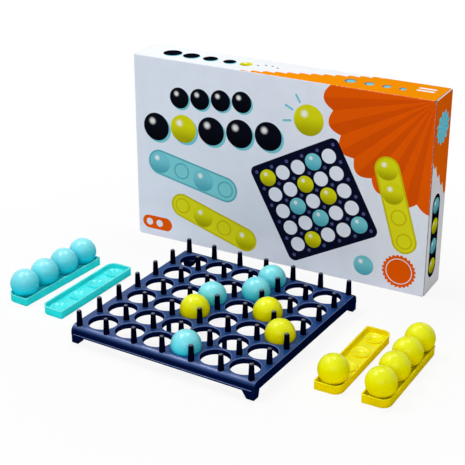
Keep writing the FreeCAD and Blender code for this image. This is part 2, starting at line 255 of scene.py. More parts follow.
def facing_up(tree):
    """How far a face looks up: 1 for a top, 0 for a side and -1 for an under side."""
    return tree.add("ShaderNodeSeparateXYZ", {0: tree.add("ShaderNodeTexCoord").outputs["Normal"]}).outputs[2]


def let_light_in(shader, share, depth):
    """Lets a share of the light wander under the surface, to about the depth given."""
    shader.inputs["Subsurface Weight"].default_value = share
    shader.inputs["Subsurface Radius"].default_value = (depth, depth, depth)
    shader.inputs["Subsurface Scale"].default_value = 1.0


def moulded_plastic(name, colour, roughness, gloss, scuffs, light_through=0.0, side_painted_shade=None, edge_painted_highlight=None,
                    lip=None):
    """A moulded plastic with its grain, an uneven gloss and light scuffs.

    Its sides may be less glossy than its top and painted darker as painted shade, its rounded edges painted
    paler as a painted highlight, and a thin lip, given as the height where it starts and its colour, may be
    painted paler as a painted highlight above a darker line of painted shade.
    """
    material, tree, shader, point = new_material(name)
    if side_painted_shade:
        facing = facing_up(tree)
        top_colour = colour
        # Painted shade: sides and under sides are painted in the darker side colour, and tops in the lit colour.
        colour = tree.mix(tree.ramp(facing, 0.35, 0.92), side_painted_shade, top_colour)
        if edge_painted_highlight:
            # Painted highlight: the rounded edges between side and top are painted paler.
            rounded = tree.maths("MULTIPLY", tree.ramp(facing, 0.62, 0.86), tree.ramp(facing, 0.94, 0.995, 1.0, 0.0))
            colour = tree.mix(rounded, colour, tree.mix(0.6, top_colour, edge_painted_highlight))
        if lip:
            start, lip_painted_highlight = lip
            height = tree.add("ShaderNodeSeparateXYZ", {0: point}).outputs[2]
            # Painted shade in a line just under the lip, and a painted highlight on the lip itself.
            line = tree.maths("MULTIPLY", tree.ramp(height, start - 0.9 * MM, start - 0.3 * MM),
                              tree.ramp(height, start - 0.1 * MM, start + 0.1 * MM, 1.0, 0.0))
            colour = tree.mix(tree.maths("MULTIPLY", line, 0.35), colour, tree.mix(0.75, colour, (0, 0, 0, 1)))
            colour = tree.mix(tree.ramp(height, start, start + 0.2 * MM), colour, lip_painted_highlight)
        shader.inputs["Specular IOR Level"].default_value = gloss
        gloss = tree.ramp(facing, 0.3, 0.85, 0.0, gloss)
    inputs = {"Point": point, "Colour": colour, "Roughness": roughness, "Grain Size": 0.5, "Grain Depth": 0.4}
    surface = tree.use(MOULDED_SURFACE, inputs).outputs
    scuff = tree.use(SCUFFS, {"Point": point, "Amount": scuffs}).outputs["Mask"]
    tree.put(shader.inputs["Base Color"], surface["Colour"])
    rough = tree.maths("ADD", surface["Roughness"], tree.maths("MULTIPLY", scuff, 0.35), clamp=True)
    tree.put(shader.inputs["Roughness"], rough)
    tree.put(shader.inputs["Normal"], bump(tree, surface["Height"], 0.25, 0.0001))
    shader.inputs["IOR"].default_value = 1.5
    tree.put(shader.inputs["Specular IOR Level"], gloss)
    if light_through:
        let_light_in(shader, light_through, 4 * MM)
    return material


def ball_plastic(name, colour, under_painted_shade, seam_colour, gloss):
    """A glossy ball, duller towards its under side and painted deeper in colour there as painted shade, with its top
    painted paler as painted light, and the faint line of its two halves.
    """
    material, tree, shader, point = new_material(name)
    facing = facing_up(tree)
    # Painted light and shade: paler towards the top, darker and deeper in colour towards the under side.
    body = tree.mix(tree.ramp(facing, -0.5, 0.95), under_painted_shade, colour)
    inputs = {"Point": point, "Colour": body, "Roughness": 0.3, "Grain Size": 0.5, "Grain Depth": 0.3}
    surface = tree.use(MOULDED_SURFACE, inputs).outputs
    across = tree.add("ShaderNodeSeparateXYZ", {0: tree.add("ShaderNodeUVMap").outputs[0]}).outputs[1]
    from_seam = tree.maths("ABSOLUTE", tree.maths("SUBTRACT", across, 0.5))
    seam = tree.ramp(from_seam, 0.002, 0.006, 1.0, 0.0)
    scuff = tree.use(SCUFFS, {"Point": point, "Amount": 0.3}).outputs["Mask"]
    faint = tree.maths("MULTIPLY", seam, 0.2)
    tree.put(shader.inputs["Base Color"], tree.mix(faint, surface["Colour"], seam_colour))
    rough = tree.maths("ADD", surface["Roughness"], tree.maths("MULTIPLY", scuff, 0.3), clamp=True)
    tree.put(shader.inputs["Roughness"], rough)
    height = tree.maths("MULTIPLY_ADD", seam, -0.4, tree.maths("MULTIPLY", surface["Height"], 0.3))
    tree.put(shader.inputs["Normal"], bump(tree, height, 0.3, 0.0001))
    shader.inputs["IOR"].default_value = 1.45
    shader.inputs["Specular IOR Level"].default_value = gloss
    tree.put(shader.inputs["Specular IOR Level"], tree.ramp(facing, 0.2, 0.85, 0.0, gloss))
    let_light_in(shader, 0.15, 6 * MM)
    return material


# Prints on the carton. Their groups work in millimetres on the flat panel: U to the right, V up.


def print_disc_group():
    """A printed disc that is shaded like a ball, laid over what is under it."""
    group, tree, given, gives = new_group(
        "printed_ball",
        {"Spot": ("Vector", None), "Centre": ("Vector", (0, 0, 0)), "Radius": ("Float", 10.0),
         "Colour": ("Color", (1, 1, 1, 1)), "Shade": ("Color", (0, 0, 0, 1)), "Under": ("Color", (1, 1, 1, 1))},
        {"Colour": "Color"},
    )
    away = tree.vector("SUBTRACT", given["Spot"], given["Centre"])
    distance = tree.maths("DIVIDE", tree.vector("LENGTH", away), given["Radius"])
    height = tree.maths("DIVIDE", tree.add("ShaderNodeSeparateXYZ", {0: away}).outputs[1], given["Radius"])
    shade = tree.ramp(height, -0.95, 0.35, 0.75, 0.0)
    body = tree.mix(shade, given["Colour"], given["Shade"])
    size = tree.add("ShaderNodeCombineXYZ", dict.fromkeys(range(3), given["Radius"])).outputs[0]
    glint_place = tree.add("ShaderNodeVectorMath", {0: (-0.3, 0.38, 0), 1: size, 2: given["Centre"]},
                           operation="MULTIPLY_ADD").outputs[0]
    from_glint = tree.vector("DISTANCE", given["Spot"], glint_place)
    glint = tree.ramp(tree.maths("DIVIDE", from_glint, given["Radius"]), 0.08, 0.34, 0.85, 0.0)
    body = tree.mix(glint, body, (1, 1, 1, 1))
    edge = tree.ramp(distance, 0.985, 1.015, 1.0, 0.0)
    tree.put(gives["Colour"], tree.mix(edge, given["Under"], body))
    return group


def print_bar_group():
    """The mask of a bar with round ends, from one end's centre to the other's."""
    group, tree, given, gives = new_group(
        "printed_bar",
        {"Spot": ("Vector", None), "From": ("Vector", (0, 0, 0)), "Along": ("Vector", (1, 0, 0)),
         "Radius": ("Float", 10.0)},
        {"Mask": "Float"},
    )
    away = tree.vector("SUBTRACT", given["Spot"], given["From"])
    share = tree.maths("DIVIDE", tree.vector("DOT_PRODUCT", away, given["Along"]),
                       tree.vector("DOT_PRODUCT", given["Along"], given["Along"]), clamp=True)
    nearest = tree.add("ShaderNodeVectorMath", {0: given["Along"]}, operation="SCALE")
    tree.put(nearest.inputs["Scale"], share)
    distance = tree.vector("DISTANCE", away, nearest.outputs[0])
    inside = tree.maths("SUBTRACT", distance, given["Radius"])
    tree.put(gives["Mask"], tree.ramp(inside, -0.2, 0.2, 1.0, 0.0))
    return group


def card_surface_group():
    """Varnished card: faint fibre, an uneven gloss, and print rubbed pale along the folds and edges."""
    group, tree, given, gives = new_group(
        "card_surface",
        {"Spot": ("Vector", None), "Colour": ("Color", (1, 1, 1, 1)), "Fold Distance": ("Float", 10.0),
         "Wear": ("Float", 0.5)},
        {"Colour": "Color", "Roughness": "Float", "Height": "Float"},
    )
    fibre = tree.add("ShaderNodeTexNoise", {"Vector": given["Spot"], "Scale": 2.2, "Detail": 5.0}).outputs[0]
    cloud = tree.add("ShaderNodeTexNoise", {"Vector": given["Spot"], "Scale": 0.035, "Detail": 4.0}).outputs[0]
    worn = tree.add("ShaderNodeTexNoise", {"Vector": given["Spot"], "Scale": 0.35, "Detail": 4.0}).outputs[0]
    near = tree.ramp(given["Fold Distance"], 0.15, 1.3, 1.0, 0.0)
    rubbed = tree.maths("MULTIPLY", near, tree.ramp(worn, 0.42, 0.7))
    rubbed = tree.maths("MULTIPLY", rubbed, given["Wear"], clamp=True)
    tone = tree.ramp(cloud, 0.3, 0.7, 0.975, 1.01)
    tone_colour = tree.add("ShaderNodeCombineColor", {0: tone, 1: tone, 2: tone}).outputs[0]
    printed = tree.mix(1.0, given["Colour"], tone_colour, "MULTIPLY")
    tree.put(gives["Colour"], tree.mix(rubbed, printed, srgb(240, 238, 232)))
    gloss = tree.ramp(cloud, 0.3, 0.7, 0.34, 0.42)
    tree.put(gives["Roughness"], tree.maths("ADD", gloss, tree.maths("MULTIPLY", rubbed, 0.35), clamp=True))
    wave = tree.maths("MULTIPLY", cloud, 6.0)
    tree.put(gives["Height"], tree.maths("ADD", tree.maths("MULTIPLY", fibre, 0.25), wave))
    return group


MOULDED_SURFACE = moulded_surface_group()
SCUFFS = scratch_group()
PRINTED_BALL = print_disc_group()
PRINTED_BAR = print_bar_group()
CARD_SURFACE = card_surface_group()

LILAC = srgb(233, 240, 255)
WHITE = srgb(250, 250, 250)
ORANGE = srgb(236, 92, 2)
DARK_ORANGE = srgb(222, 82, 3)
LIGHT_ORANGE = srgb(250, 150, 8)
END_ORANGE = srgb(255, 110, 4)
BLACK = srgb(8, 11, 24)
INK = srgb(4, 4, 10)
NAVY = srgb(10, 14, 40)
PEG_BLUE = srgb(74, 84, 134)
SHADOW_BLUE = srgb(90, 110, 140)
CYAN = srgb(120, 205, 220)
DEEP_CYAN = srgb(60, 160, 180)
CYAN_TRAY_WALL = srgb(90, 180, 195)
CYAN_TRAY_FLOOR = srgb(130, 215, 225)
YELLOW = srgb(222, 222, 20)
DEEP_YELLOW = srgb(150, 145, 0)
YELLOW_TRAY_WALL = srgb(205, 195, 10)
YELLOW_TRAY_FLOOR = srgb(228, 226, 30)
YELLOW_BALL = (YELLOW, DEEP_YELLOW)
CYAN_BALL = (CYAN, DEEP_CYAN)
BLACK_BALL = (BLACK, INK)


class Artwork:
    """A panel's print, built up colour over colour. Its plane is in millimetres, U to the right and V up.

    A ball's colours are its own and that of its shaded under side.
    """

    def __init__(self, tree, point, plane):
        self.tree = tree
        place = {"Vector": point, "Location": CARTON_CORNER, "Rotation": (0, 0, CARTON_TURN), "Scale": (MM, MM, MM)}
        local = tree.add("ShaderNodeMapping", place, vector_type="TEXTURE").outputs[0]
        self.local = local
        parts = tree.add("ShaderNodeSeparateXYZ", {0: local}).outputs
        self.along = {"X": parts[0], "Y": parts[1], "Z": parts[2]}
        self.u, self.v = (self.along[axis] for axis in plane)
        self.spot = tree.add("ShaderNodeCombineXYZ", {0: self.u, 1: self.v}).outputs[0]
        self.colour = WHITE

    def fill(self, mask, colour):
        self.colour = self.tree.mix(mask, self.colour, colour)

    def disc(self, u, v, radius, colour):
        distance = self.tree.vector("DISTANCE", self.spot, (u, v, 0))
        self.fill(self.tree.ramp(distance, radius - 0.15, radius + 0.15, 1.0, 0.0), colour)

    def ball(self, u, v, radius, colours):
        inputs = {"Spot": self.spot, "Centre": (u, v, 0), "Radius": radius, "Colour": colours[0],
                  "Shade": colours[1], "Under": self.colour}
        self.colour = self.tree.use(PRINTED_BALL, inputs).outputs[0]

    def bar(self, start, end, radius, colour):
        along = (end[0] - start[0], end[1] - start[1], 0)
        inputs = {"Spot": self.spot, "From": (*start, 0), "Along": along, "Radius": radius}
        self.fill(self.tree.use(PRINTED_BAR, inputs).outputs[0], colour)

    def scallops(self, along, across, level, depth, pitch, colour):
        """Everything past the level, with an edge of round scallops."""
        tree = self.tree
        turn = tree.maths("MULTIPLY", along, math.pi / pitch)
        edge = tree.maths("MULTIPLY_ADD", tree.maths("ABSOLUTE", tree.maths("SINE", turn)), -depth, level)
        past = tree.maths("SUBTRACT", across, edge)
        self.fill(tree.ramp(past, -0.15, 0.15), colour)

    def sun(self, u, v, radius, rays, depth, light, dark):
        """A round sun with a scalloped rim and rays of two colours."""
        tree = self.tree
        away = tree.vector("SUBTRACT", self.spot, (u, v, 0))
        parts = tree.add("ShaderNodeSeparateXYZ", {0: away}).outputs
        angle = tree.maths("ARCTAN2", parts[1], parts[0])
        wave = tree.maths("ABSOLUTE", tree.maths("SINE", tree.maths("MULTIPLY", angle, rays / 2)))
        rim = tree.maths("MULTIPLY_ADD", wave, depth, radius - depth)
        inside = tree.maths("SUBTRACT", tree.vector("LENGTH", away), rim)
        ray = tree.ramp(tree.maths("SINE", tree.maths("MULTIPLY", angle, rays)), -0.05, 0.05)
        self.fill(tree.ramp(inside, -0.15, 0.15, 1.0, 0.0), tree.mix(ray, dark, light))

    def ball_row(self, u, v, radius, count, rise, bright=()):
        """A row of big black balls, each with a cyan shadow beside it. Those in bright are yellow."""
        for step in range(count):
            place = (u + step * radius * 2.16, v + rise * step)
            self.disc(place[0] + radius * 0.16, place[1] - radius * 0.14, radius, CYAN)
            self.ball(*place, radius, YELLOW_BALL if step in bright else BLACK_BALL)

    def tray(self, start, end, radius, full, colour):
        """A round-ended tray with four ringed seats, of which some hold a ball."""
        wall, floor, ball = {"cyan": (CYAN_TRAY_WALL, CYAN_TRAY_FLOOR, CYAN_BALL),
                             "yellow": (YELLOW_TRAY_WALL, YELLOW_TRAY_FLOOR, YELLOW_BALL)}[colour]
        self.bar(start, end, radius + 2.2, wall)
        self.bar(start, end, radius, floor)
        for seat in range(4):
            spot = [a + (b - a) * seat / 3 for a, b in zip(start, end)]
            if seat in full:
                self.ball(*spot, radius, ball)
            else:
                self.disc(*spot, radius * 0.75, wall)
                self.disc(*spot, radius * 0.62, floor)

    def from_grid(self, local, reach, pitch):
        """The distance to the nearest middle of a grid's squares. The grid starts at minus its reach."""
        moved = self.tree.vector("ADD", local, (reach, reach, 0))
        square = self.tree.vector("MODULO", moved, (pitch, pitch, pitch))
        return self.tree.vector("DISTANCE", square, (pitch / 2, pitch / 2, 0))

    def board(self, u, v, turn, half, corner, holes, pitch, radius):
        """A square plate with rows of round holes and a peg's dot between them."""
        tree = self.tree
        place = {"Vector": self.spot, "Location": (u, v, 0), "Rotation": (0, 0, turn)}
        local = tree.add("ShaderNodeMapping", place, vector_type="TEXTURE").outputs[0]
        far = tree.vector("SUBTRACT", tree.vector("ABSOLUTE", local), (half - corner, half - corner, 0))
        outside = tree.vector("LENGTH", tree.vector("MAXIMUM", far))
        plate = tree.ramp(outside, corner - 0.2, corner + 0.2, 1.0, 0.0)
        self.fill(plate, NAVY)
        reach = holes * pitch / 2
        hole = tree.ramp(self.from_grid(local, reach, pitch), radius - 0.2, radius + 0.2, 1.0, 0.0)
        inner = tree.vector("SUBTRACT", tree.vector("ABSOLUTE", local), (reach, reach, 0))
        parts = tree.add("ShaderNodeSeparateXYZ", {0: inner}).outputs
        within = tree.maths("LESS_THAN", tree.maths("MAXIMUM", parts[0], parts[1]), 0.0)
        self.fill(tree.maths("MULTIPLY", hole, within), LILAC)
        peg = tree.ramp(self.from_grid(local, reach + pitch / 2, pitch), 1.9, 2.3, 1.0, 0.0)
        self.fill(tree.maths("MULTIPLY", peg, plate), PEG_BLUE)

    def finish(self, shader, wear=0.5, gloss=0.02):
        """Joins the print to the shader, with the card's own surface over it."""
        tree = self.tree
        ends = (CARTON_LENGTH, CARTON_DEPTH, CARTON_HEIGHT)
        from_sides = []
        for axis, end in zip("XYZ", ends):
            at = self.along[axis]
            from_sides.append(tree.maths("MINIMUM", at, tree.maths("SUBTRACT", end, at)))
        # A panel lies on one side, so the second nearest side is the one that its nearest fold or edge is on.
        low, high = (tree.maths(choice, *from_sides[:2]) for choice in ("MINIMUM", "MAXIMUM"))
        from_fold = tree.maths("MAXIMUM", low, tree.maths("MINIMUM", high, from_sides[2]))
        inputs = {"Spot": self.local, "Colour": self.colour, "Fold Distance": from_fold, "Wear": wear}
        surface = tree.use(CARD_SURFACE, inputs).outputs
        tree.put(shader.inputs["Base Color"], surface["Colour"])
        tree.put(shader.inputs["Roughness"], surface["Roughness"])
        tree.put(shader.inputs["Normal"], bump(tree, surface["Height"], 0.2, 0.0001))
        shader.inputs["IOR"].default_value = 1.36
        shader.inputs["Specular IOR Level"].default_value = gloss


def front_print():
    """The front: a fan sun, black balls in two rows, a turned plate with balls, trays and a round badge."""
    material, tree, shader, point = new_material("front_print")
    art = Artwork(tree, point, "XZ")
    art.colour = LILAC
    art.sun(CARTON_LENGTH, CARTON_HEIGHT, 128, 26, 9, ORANGE, DARK_ORANGE)
    art.ball_row(60, 182, 12.5, 4, 2.5)
    art.ball_row(28, 142, 17, 5, 3.2, bright=(1,))

    bounced = Vector((224, 182))
    for angle in (2.1, 2.7, 3.3):
        away = Vector((math.cos(angle), math.sin(angle)))
        art.bar(bounced + away * 22, bounced + away * 31, 1.3, CYAN)
    art.ball(*bounced, 18, YELLOW_BALL)

    middle, turn, pitch = Vector((232, 88)), math.radians(28), 21
    art.board(*middle, turn, 60, 8, 5, pitch, 8.6)
    for column, row, colours in (
        (0, 4, YELLOW_BALL), (1, 2, CYAN_BALL), (2, 3, YELLOW_BALL), (2, 1, CYAN_BALL),
        (3, 2, YELLOW_BALL), (4, 0, CYAN_BALL), (3, 4, CYAN_BALL), (1, 0, YELLOW_BALL),
    ):
        place = middle + Matrix.Rotation(turn, 2) @ Vector(((column - 2) * pitch, (row - 2) * pitch))
        art.ball(*place, 10, colours)

    art.tray((32, 98), (120, 80), 13.5, (0, 2), "cyan")
    art.tray((62, 48), (146, 22), 13, (1, 3), "yellow")
    art.tray((318, 142), (342, 62), 12.5, (0, 1), "yellow")
    art.ball(296, 23, 12, CYAN_BALL)
    art.bar((14, 18), (38, 18), 8.5, ORANGE)
    for u in (15, 29):
        art.disc(u, 18, 4.5, LILAC)
    badge = (338, 25)
    art.sun(*badge, 20, 24, 2, ORANGE, ORANGE)
    art.disc(*badge, 15.5, LILAC)
    art.disc(*badge, 14.5, ORANGE)
    art.finish(shader)
    return material


def top_print():
    """The top: a slanted wedge with scallops, a row of discs, a ball and two white bars."""
    material, tree, shader, point = new_material("top_print")
    art = Artwork(tree, point, "XY")
    art.colour = srgb(243, 246, 250)
    across = tree.maths("MULTIPLY_ADD", art.u, 0.33, tree.maths("MULTIPLY", art.v, -1.0))
    art.scallops(tree.maths("MULTIPLY_ADD", art.v, 1.5, art.u), across, 49.5, 5, 19, LIGHT_ORANGE)
    for step in range(4):
        radius = 11 - 1.2 * step
        art.disc(40 + 25 * step, 22, radius, CYAN)
        art.disc(38 + 25 * step, 24, radius, BLACK)
    art.ball(134, 24, 7.5, YELLOW_BALL)
    for step in range(4):
        art.disc(148 + 8 * step, 26 + 5 * math.sin(step), 1.4, BLACK)
    for u, radius in ((262, 6.5), (284, 5.6), (304, 4.8), (322, 4.0)):
        art.disc(u, 22, radius, SHADOW_BLUE)
        art.disc(u + 1, 21.2, radius * 0.8, CYAN)
    for v in (34, 26):
        art.bar((338, v), (354, v), 2.2, WHITE)
    art.finish(shader, gloss=0.0)
    return material


def end_print():
    """An end: slanted scallops, a small sun and four balls in a black capsule."""
    material, tree, shader, point = new_material("end_print")
    art = Artwork(tree, point, "YZ")
    art.colour = srgb(248, 250, 255)
    across = tree.maths("MULTIPLY_ADD", art.u, 1.1, art.v)
    art.scallops(art.u, across, 165, 8, 12.4, END_ORANGE)
    art.sun(26, 190, 19, 12, 4, srgb(129, 233, 255), srgb(112, 214, 238))
    art.bar((22, 28), (22, 104), 11.5, BLACK)
    for step in range(4):
        art.ball(22, 30 + 24 * step, 9, CYAN_BALL if step % 2 else YELLOW_BALL)
    art.finish(shader, gloss=0.0)
    return material


def back_print():
    """The back: a scalloped band along the top and three small plates on white."""
    material, tree, shader, point = new_material("back_print")
    art = Artwork(tree, point, "XZ")
    art.colour = LILAC
    art.scallops(art.u, art.v, 192, 7, 23, ORANGE)
    for column in range(3):
        middle = 70 + 114 * column
        art.bar((middle - 24, 78), (middle + 24, 78), 26, WHITE)
        art.board(middle, 84, 0, 24, 4, 3, 14, 5.4)
    art.finish(shader)
    return material


def bottom_print():
    """The bottom: a white bar on orange."""
    material, tree, shader, point = new_material("bottom_print")
    art = Artwork(tree, point, "XY")
    art.colour = ORANGE
    art.bar((40, 24.5), (328, 24.5), 12, WHITE)
    art.finish(shader)
    return material


def bare_board():
    """The inside of the carton: grey-white board with the faint lines of the fluting behind it."""
    material, tree, shader, point = new_material("bare_board")
    art = Artwork(tree, point, "XZ")
    fleck = tree.add("ShaderNodeTexNoise", {"Vector": art.local, "Scale": 1.4, "Detail": 6.0}).outputs[0]
    art.colour = tree.mix(tree.ramp(fleck, 0.35, 0.75), srgb(206, 200, 188), srgb(186, 178, 164))
    flute = tree.maths("SINE", tree.maths("MULTIPLY", art.along["X"], math.tau / FLUTE_PITCH))
    tree.put(shader.inputs["Base Color"], art.colour)
    shader.inputs["Roughness"].default_value = 0.85
    height = tree.maths("MULTIPLY_ADD", flute, 0.3, fleck)
    tree.put(shader.inputs["Normal"], bump(tree, height, 0.3, 0.0001))
    return material


def plain_white_card():
    """The outer side of the dust flaps and tongues, which is white and not printed."""
    material, tree, shader, point = new_material("plain_white_card")
    art = Artwork(tree, point, "YZ")
    art.finish(shader, 0.3)
    return material


def cut_edge():
    """A cut edge of the corrugated board: two white liners and the wavy sheet between them, with painted shade on
    the front panel's cut edges.
    """
    material, tree, shader, point = new_material("cut_edge")
    art = Artwork(tree, point, "XZ")
    flute = tree.maths("SINE", tree.maths("MULTIPLY", art.along["Z"], math.tau / FLUTE_PITCH))
    art.colour = tree.mix(tree.ramp(flute, -0.4, 0.6), srgb(252, 251, 248), srgb(220, 216, 208))
    # Painted shade: the cut edges along the front are painted dark, for the shadow in the gap beside the end flaps.
    art.fill(tree.ramp(art.along["Y"], 1.7, 2.0, 1.0, 0.0), srgb(70, 62, 60))
    tree.put(shader.inputs["Base Color"], art.colour)
    shader.inputs["Roughness"].default_value = 0.9
    tree.put(shader.inputs["Normal"], bump(tree, flute, 0.4, 0.0002))
    return material


def card_print():
    """A challenge card: a pale face with a plate of holes, four of them filled across it."""
    material, tree, shader, point = new_material("card_print")
    art = Artwork(tree, point, "XZ")
    middle, pitch = (249, 33.3), 11
    art.board(*middle, 0, 24, 4, 4, pitch, 4)
    for step in range(4):
        art.disc(*(at + (step - 1.5) * pitch for at in middle), 4.2, YELLOW)
    art.finish(shader, 0.2)
    return material


def paper_sheet():
    """Thin rules paper: white, with faint fibre and pale blocks where its columns stand."""
    material, tree, shader, point = new_material("paper_sheet")
    art = Artwork(tree, point, "XZ")
    line_pitch, column_pitch = 5.0, 74.0
    lines = tree.maths("COMPARE", tree.maths("FRACT", tree.maths("DIVIDE", art.v, line_pitch)), 0.5, 0.18)
    columns = tree.maths("COMPARE", tree.maths("FRACT", tree.maths("DIVIDE", art.u, column_pitch)), 0.45, 0.38)
    art.fill(tree.maths("MULTIPLY", tree.maths("MULTIPLY", lines, columns), 0.25), srgb(120, 124, 140))
    art.finish(shader, 0.0)
    shader.inputs["IOR"].default_value = 1.4
    return material


# Meshes


def new_piece(name, bm, materials, node, sharp=32):
    """Makes the mesh an object that stands for a CAD node and rides with it."""
    mesh = bpy.data.meshes.new(name)
    bm.to_mesh(mesh)
    bm.free()
    mesh.shade_smooth()
    mesh.set_sharp_from_angle(angle=math.radians(sharp))
    for material in materials:
        mesh.materials.append(material)
    piece = bpy.data.objects.new(name, mesh)
    bpy.context.scene.collection.objects.link(piece)
    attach(piece, frame["nodes"][node]["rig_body"])
    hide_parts(node)
    return piece


def merged_copy(node):
    """The CAD node's mesh with its loose triangles joined."""
    bm = bmesh.new()
    bm.from_mesh(frame["nodes"][node].data)
    bmesh.ops.remove_doubles(bm, verts=bm.verts, dist=0.002 * MM)
    return bm


def spun(bm, points, steps):
    """Turns a profile, given as radius and height, once round Z."""
    verts = [bm.verts.new((radius, 0, height)) for radius, height in points]
    edges = [bm.edges.new(pair) for pair in zip(verts, verts[1:])]
    bmesh.ops.spin(bm, geom=verts + edges, cent=(0, 0, 0), axis=(0, 0, 1), angle=math.tau, steps=steps,
                   use_merge=True, use_duplicate=False)


def add_balls():
    """A ball for each ball's node, each turned its own way so that the seams differ."""
    random.seed(11)
    for node in frame["nodes"]:
        if "_ball_" not in node:
            continue
        colour = node.split("_")[0]
        low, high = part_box(node)
        bm = bmesh.new()
        bm.loops.layers.uv.new("UVMap")
        bmesh.ops.create_uvsphere(bm, u_segments=64, v_segments=32, radius=(high.z - low.z) / 2, calc_uvs=True)
        turn = Euler([random.uniform(0, math.tau) for _ in range(3)]).to_matrix()
        bmesh.ops.rotate(bm, verts=bm.verts, matrix=turn)
        bmesh.ops.translate(bm, verts=bm.verts, vec=(low + high) / 2)
        new_piece(node + "_moulding", bm, [BALL_PLASTICS[colour]], node, 180)


def peg_profile():
    """Half of a peg's outline, as radius and height, from its stem up to its domed tip."""
    chamfer, edge = 0.3, 0.2
    points = [(0, PEG_FOOT), (PEG_STEM_RADIUS - chamfer, PEG_FOOT), (PEG_STEM_RADIUS, PEG_FOOT + chamfer)]
    points += [(PEG_STEM_RADIUS, PEG_BASE), (PEG_RADIUS - edge, PEG_BASE), (PEG_RADIUS - 0.01, PEG_BASE + edge)]
    for share in (0.5, 1.0):
        points.append((PEG_RADIUS - PEG_TAPER * share, PEG_BASE + (PEG_SHOULDER - PEG_BASE) * share))
    for angle in (56, 45, 34, 23, 12):
        turn = math.radians(angle)
        points.append((PEG_DOME * math.sin(turn), PEG_TIP - PEG_DOME * (1 - math.cos(turn))))
    points.append((0, PEG_TIP))
    return [(radius * MM, height * MM) for radius, height in points]


def add_pegs():
    """One turned peg, set down at every crossing of the board's grid."""
    one = bmesh.new()
    spun(one, peg_profile(), 28)
    bmesh.ops.remove_doubles(one, verts=one.verts, dist=0.01 * MM)
    bmesh.ops.recalc_face_normals(one, faces=one.faces)
    mesh = bpy.data.meshes.new("one_peg")
    one.to_mesh(mesh)
    one.free()
    bm = bmesh.new()
    half = PITCH * (PEGS_PER_SIDE - 1) / 2
    for column in range(PEGS_PER_SIDE):
        for row in range(PEGS_PER_SIDE):
            before = len(bm.verts)
            bm.from_mesh(mesh)
            bm.verts.ensure_lookup_table()
            place = BOARD_MIDDLE + Vector((column * PITCH - half, row * PITCH - half, 0))
            bmesh.ops.translate(bm, verts=bm.verts[before:], vec=place)
    bpy.data.meshes.remove(mesh)
    new_piece("pegs_moulding", bm, [PEG_PLASTIC], "pegs", 40)


def stepped(bm, face, steps):
    """Draws a face in and raises what is left of it, once for each step."""
    for inset, rise in steps:
        bmesh.ops.inset_individual(bm, faces=[face], thickness=inset, depth=rise, use_even_offset=True)
    bmesh.ops.delete(bm, geom=[face], context="FACES_ONLY")


def tray_wall(bm):
    """The wall that runs round a tray with its lip, open where the floor goes."""
    x, y = TRAY_HALF
    verts = [bm.verts.new((a, b, TRAY_HEIGHT)) for a, b in ((-x, -y), (x, -y), (x, y), (-x, y))]
    bm.faces.new(verts)
    for corners, radius in ((verts[:1] + verts[3:], TRAY_TIGHT_CORNER), (verts[1:3], TRAY_LARGE_CORNER)):
        bmesh.ops.bevel(bm, geom=corners, offset=radius, affect="VERTICES", segments=8, profile=0.5, material=-1)
    top = bm.faces[:][0]
    under = bmesh.ops.duplicate(bm, geom=[top])["geom"]
    under = [part for part in under if isinstance(part, bmesh.types.BMFace)][0]
    bmesh.ops.reverse_faces(bm, faces=[under])
    stepped(bm, top, ((LIP_REACH + TRAY_WALL, 0), (0, FLOOR_TOP - TRAY_HEIGHT)))
    below_lip = TRAY_HEIGHT - LIP_HEIGHT
    stepped(bm, under, ((0, LIP_HEIGHT), (LIP_REACH, 0), (0, below_lip), (TRAY_WALL, 0), (0, -FLOOR_UNDER)))
    bmesh.ops.remove_doubles(bm, verts=bm.verts, dist=0.01 * MM)
    hard = [e for e in bm.edges if len(e.link_faces) == 2 and e.calc_face_angle() > math.radians(60)]
    bmesh.ops.bevel(bm, geom=hard, offset=0.22 * MM, affect="EDGES", segments=2, profile=0.5, material=-1)


def add_tray(node, place):
    """A tray: its wall, four ringed and dished seats with dimples under them, and the floor between."""
    colour = node.split("_")[0]
    bm = bmesh.new()
    tray_wall(bm)
    over_dish = DISH_CENTRE - FLOOR_TOP - RING_HEIGHT
    dish_edge = math.sqrt(DISH_RADIUS**2 - over_dish**2)
    dimple = DISH_RADIUS + FLOOR_TOP - FLOOR_UNDER
    dimple_edge = math.sqrt(dimple**2 - (DISH_CENTRE - FLOOR_UNDER) ** 2)
    rim, ring_top = 0.25 * MM, FLOOR_TOP + RING_HEIGHT
    for seat in range(4):
        offset = Vector((0, (seat - 1.5) * BALL_SPACING, 0))
        before = set(bm.verts)
        points = [(RING_RADIUS, FLOOR_TOP), (RING_RADIUS, ring_top - rim), (RING_RADIUS - rim, ring_top),
                  (dish_edge, ring_top)]
        for share in (0.85, 0.68, 0.5, 0.3, 0.0):
            radius = dish_edge * share
            points.append((radius, DISH_CENTRE - math.sqrt(DISH_RADIUS**2 - radius**2)))
        spun(bm, points, 40)
        points = []
        for share in (1.0, 0.75, 0.45, 0.0):
            radius = dimple_edge * share
            points.append((radius, DISH_CENTRE - math.sqrt(dimple**2 - radius**2)))
        spun(bm, points, 32)
        bmesh.ops.remove_doubles(bm, verts=[v for v in bm.verts if v not in before], dist=0.005 * MM)
        bmesh.ops.translate(bm, verts=[v for v in bm.verts if v not in before], vec=offset)
    for height in (FLOOR_TOP, FLOOR_UNDER):
        open_edges = [e for e in bm.edges if e.is_boundary and all(abs(v.co.z - height) < 1e-6 for v in e.verts)]
        bmesh.ops.triangle_fill(bm, use_beauty=True, use_dissolve=False, edges=open_edges)
    bmesh.ops.recalc_face_normals(bm, faces=bm.faces)
    x, y, turn = place
    bmesh.ops.rotate(bm, verts=bm.verts, matrix=Matrix.Rotation(math.radians(turn), 3, "Z"))
    bmesh.ops.translate(bm, verts=bm.verts, vec=BOARD_MIDDLE + Vector((x * MM, y * MM, 0)))
    new_piece(node + "_moulding", bm, [TRAY_PLASTICS[colour]], node, 40)


